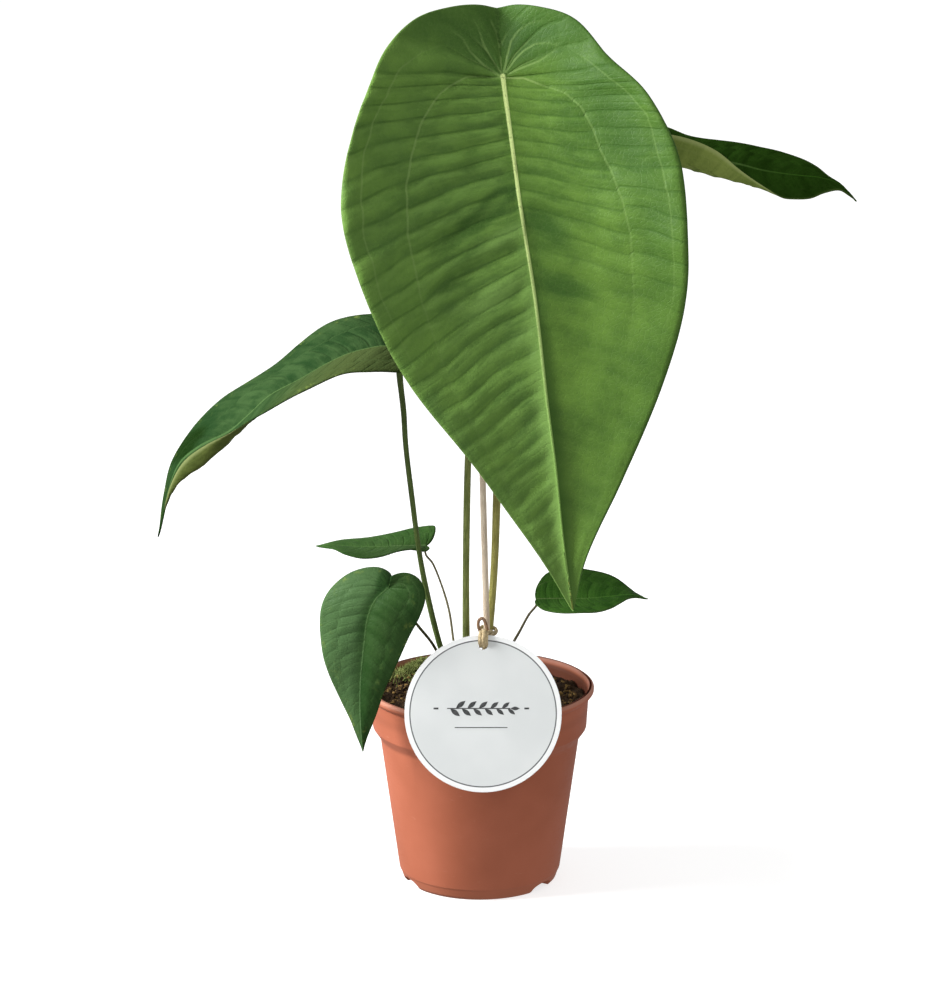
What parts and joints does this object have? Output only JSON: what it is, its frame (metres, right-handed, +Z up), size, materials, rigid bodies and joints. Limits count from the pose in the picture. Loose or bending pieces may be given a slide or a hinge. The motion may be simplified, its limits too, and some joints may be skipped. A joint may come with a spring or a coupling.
{
  "type": "potted anthurium plant",
  "caption": "Young foliage anthurium in a plastic nursery pot: a big hanging heart-shaped leaf with smaller leaves round it, tied to a cane, with a round plant card.",
  "frame": {"origin": "centre of the pot's flat underside, which it stands on", "axes": "+Z up along the pot's axis; -Y towards the front, where the card and the big leaf face; +X to the viewer's right"},
  "size_m": [0.3598, 0.1401, 0.467],
  "materials": {
    "terracotta_plastic": "matt terracotta-coloured plastic",
    "potting_soil": "loose damp bark and peat mix",
    "mature_leaf": "leathery satin leaf",
    "arched_leaf": "leathery satin leaf, slightly blue",
    "shaded_leaf": "leathery satin leaf, dark",
    "young_leaf": "soft satin leaf",
    "olive_stalk": "smooth satin stalk",
    "green_stalk": "smooth satin stalk",
    "cane_wood": "split bamboo, matt",
    "white_card": "smooth white card",
    "raffia": "dry twisted fibre"
  },
  "bodies": {
    "root": {"pot": "terracotta_plastic", "soil": "potting_soil", "large_leaf": "mature_leaf", "left_leaf": "arched_leaf", "right_leaf": "shaded_leaf", "heart_leaf": "young_leaf", "small_left_leaf": "young_leaf", "small_right_leaf": "shaded_leaf", "large_petiole": "olive_stalk", "left_petiole": "green_stalk", "right_petiole": "green_stalk", "heart_petiole": "green_stalk", "small_left_petiole": "green_stalk", "small_right_petiole": "green_stalk", "cane": "cane_wood", "card": "white_card", "tie": "raffia"}
  },
  "joints": []
}
